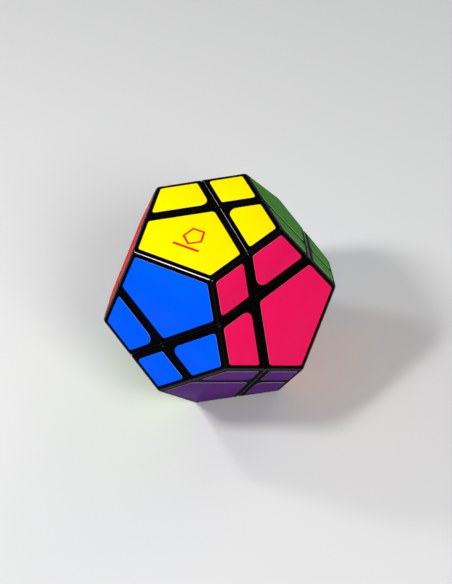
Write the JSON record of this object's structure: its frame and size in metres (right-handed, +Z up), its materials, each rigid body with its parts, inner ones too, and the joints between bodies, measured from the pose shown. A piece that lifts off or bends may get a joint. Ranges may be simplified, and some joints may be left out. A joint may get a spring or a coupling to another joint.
{
  "type": "dodecahedron twisty puzzle",
  "caption": "Regular dodecahedron twisty puzzle in black plastic with coloured vinyl labels, cut through its centre by planes that turn its halves against each other.",
  "frame": {"origin": "centre of the face that the puzzle rests on, at the height of its labels' outer side", "axes": "+Z up out of the opposite face (yellow); -Y towards the blue face, so that +Y is the back; +X to the right of the blue face"},
  "size_m": [0.0822, 0.0866, 0.0704],
  "materials": {
    "core_plastic": "moulded, satin",
    "base_plastic": "moulded, satin",
    "black_plastic": "moulded, glossy",
    "steel": "zinc plated",
    "label_blue": "glossy vinyl film",
    "label_purple": "glossy vinyl film",
    "label_pink": "glossy vinyl film",
    "label_white": "glossy vinyl film",
    "label_lime": "glossy vinyl film",
    "label_grey": "glossy vinyl film",
    "label_sky": "glossy vinyl film",
    "label_green": "glossy vinyl film",
    "label_orange": "glossy vinyl film",
    "label_yellow": "glossy vinyl film",
    "label_cream": "glossy vinyl film",
    "label_red": "glossy vinyl film"
  },
  "bodies": {
    "core": {"core": "core_plastic", "screw_1": "steel", "screw_2": "steel", "screw_3": "steel", "screw_4": "steel", "washer_1": "steel", "washer_2": "steel", "washer_3": "steel", "washer_4": "steel"},
    "corner_1": {"corner_base_1": "base_plastic", "corner_cap_1": "black_plastic", "corner_labels_1": "label_purple", "spring_1": "steel"},
    "corner_2": {"corner_base_2": "base_plastic", "corner_cap_2": "black_plastic", "corner_labels_2": "label_lime", "spring_2": "steel"},
    "corner_3": {"corner_base_3": "base_plastic", "corner_cap_3": "black_plastic", "corner_labels_3": "label_sky", "spring_3": "steel"},
    "corner_4": {"corner_base_4": "base_plastic", "corner_cap_4": "black_plastic", "corner_labels_4": "label_cream", "spring_4": "steel"},
    "edge_12": {"edge_base_12": "base_plastic", "edge_cap_12": "black_plastic", "edge_labels_12": "label_purple"},
    "edge_13": {"edge_base_13": "base_plastic", "edge_cap_13": "black_plastic", "edge_labels_13": "label_pink"},
    "edge_14": {"edge_base_14": "base_plastic", "edge_cap_14": "black_plastic", "edge_labels_14": "label_yellow"},
    "edge_23": {"edge_base_23": "base_plastic", "edge_cap_23": "black_plastic", "edge_labels_23": "label_white"},
    "edge_24": {"edge_base_24": "base_plastic", "edge_cap_24": "black_plastic", "edge_labels_24": "label_red"},
    "edge_34": {"edge_base_34": "base_plastic", "edge_cap_34": "black_plastic", "edge_labels_34": "label_green"},
    "loose_123": {"loose_base_123": "base_plastic", "loose_cap_123": "black_plastic", "loose_labels_123": "label_orange"},
    "loose_124": {"loose_base_124": "base_plastic", "loose_cap_124": "black_plastic", "loose_labels_124": "label_blue"},
    "loose_134": {"loose_base_134": "base_plastic", "loose_cap_134": "black_plastic", "loose_labels_134": "label_yellow"},
    "loose_234": {"loose_base_234": "base_plastic", "loose_cap_234": "black_plastic", "loose_labels_234": "label_grey"}
  },
  "joints": [
    {"name": "twist_1", "type": "hinge", "parent": "core", "child": "corner_1", "pos_m": [0, 0, 0.0352], "axis": [0.5774, -0.7947, 0.1876], "continuous": true},
    {"name": "twist_2", "type": "hinge", "parent": "core", "child": "corner_2", "pos_m": [0, 0, 0.0352], "axis": [-0.5774, -0.1876, -0.7947], "range_deg": [-360, 360]},
    {"name": "twist_3", "type": "hinge", "parent": "core", "child": "corner_3", "pos_m": [0, 0, 0.0352], "axis": [0.5774, 0.7947, -0.1876], "range_deg": [-360, 360]},
    {"name": "twist_4", "type": "hinge", "parent": "core", "child": "corner_4", "pos_m": [0, 0, 0.0352], "axis": [-0.5774, 0.1876, 0.7947], "range_deg": [-360, 360]},
    {"name": "edge_12_turn", "type": "hinge", "parent": "corner_1", "child": "edge_12", "pos_m": [0, 0, 0.0352], "axis": [-0.5774, -0.1876, -0.7947], "range_deg": [-360, 360]},
    {"name": "edge_13_turn", "type": "hinge", "parent": "corner_1", "child": "edge_13", "pos_m": [0, 0, 0.0352], "axis": [0.5774, 0.7947, -0.1876], "range_deg": [-360, 360]},
    {"name": "edge_14_turn", "type": "hinge", "parent": "corner_1", "child": "edge_14", "pos_m": [0, 0, 0.0352], "axis": [-0.5774, 0.1876, 0.7947], "range_deg": [-360, 360]},
    {"name": "edge_23_turn", "type": "hinge", "parent": "corner_2", "child": "edge_23", "pos_m": [0, 0, 0.0352], "axis": [0.5774, 0.7947, -0.1876], "range_deg": [-360, 360]},
    {"name": "edge_24_turn", "type": "hinge", "parent": "corner_2", "child": "edge_24", "pos_m": [0, 0, 0.0352], "axis": [-0.5774, 0.1876, 0.7947], "range_deg": [-360, 360]},
    {"name": "edge_34_turn", "type": "hinge", "parent": "corner_3", "child": "edge_34", "pos_m": [0, 0, 0.0352], "axis": [-0.5774, 0.1876, 0.7947], "range_deg": [-360, 360]},
    {"name": "loose_123_turn", "type": "hinge", "parent": "edge_12", "child": "loose_123", "pos_m": [0, 0, 0.0352], "axis": [0.5774, 0.7947, -0.1876], "range_deg": [-360, 360]},
    {"name": "loose_124_turn", "type": "hinge", "parent": "edge_12", "child": "loose_124", "pos_m": [0, 0, 0.0352], "axis": [-0.5774, 0.1876, 0.7947], "range_deg": [-360, 360]},
    {"name": "loose_134_turn", "type": "hinge", "parent": "edge_13", "child": "loose_134", "pos_m": [0, 0, 0.0352], "axis": [-0.5774, 0.1876, 0.7947], "range_deg": [-360, 360]},
    {"name": "loose_234_turn", "type": "hinge", "parent": "edge_23", "child": "loose_234", "pos_m": [0, 0, 0.0352], "axis": [-0.5774, 0.1876, 0.7947], "range_deg": [-360, 360]}
  ],
  "couplings": [
    {"joint": "edge_12_turn", "follows": "twist_2", "ratio": 1},
    {"joint": "edge_13_turn", "follows": "twist_3", "ratio": 1},
    {"joint": "edge_14_turn", "follows": "twist_4", "ratio": 1},
    {"joint": "edge_23_turn", "follows": "twist_3", "ratio": 1},
    {"joint": "edge_24_turn", "follows": "twist_4", "ratio": 1},
    {"joint": "edge_34_turn", "follows": "twist_4", "ratio": 1},
    {"joint": "loose_123_turn", "follows": "twist_3", "ratio": 1},
    {"joint": "loose_124_turn", "follows": "twist_4", "ratio": 1},
    {"joint": "loose_134_turn", "follows": "twist_4", "ratio": 1},
    {"joint": "loose_234_turn", "follows": "twist_4", "ratio": 1}
  ]
}
